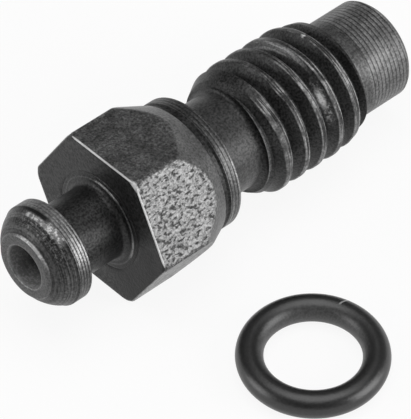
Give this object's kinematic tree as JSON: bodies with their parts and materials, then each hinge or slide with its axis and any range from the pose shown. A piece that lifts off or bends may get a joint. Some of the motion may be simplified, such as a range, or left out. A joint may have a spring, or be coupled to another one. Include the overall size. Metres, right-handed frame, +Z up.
{
  "type": "bleeder screw",
  "caption": "Dark steel bleeder screw with a barbed hose nipple, tapered hex, seating collar, coarse thread and smooth tip, lying beside its rubber O-ring.",
  "frame": {"origin": "middle of the part's footprint on the surface that the screw and its ring lie on", "axes": "+X along the screw, from the hose nipple to the tip, level within the small tilt at which the screw rests; +Z up"},
  "size_m": [0.0322, 0.0262, 0.0112],
  "materials": {
    "black_oxide_steel": "black oxide over turned steel, worn bright on the edges and one hex flat",
    "black_rubber": "matte moulded nitrile rubber"
  },
  "bodies": {
    "root": {"screw_body": "black_oxide_steel", "o_ring": "black_rubber"}
  },
  "joints": []
}
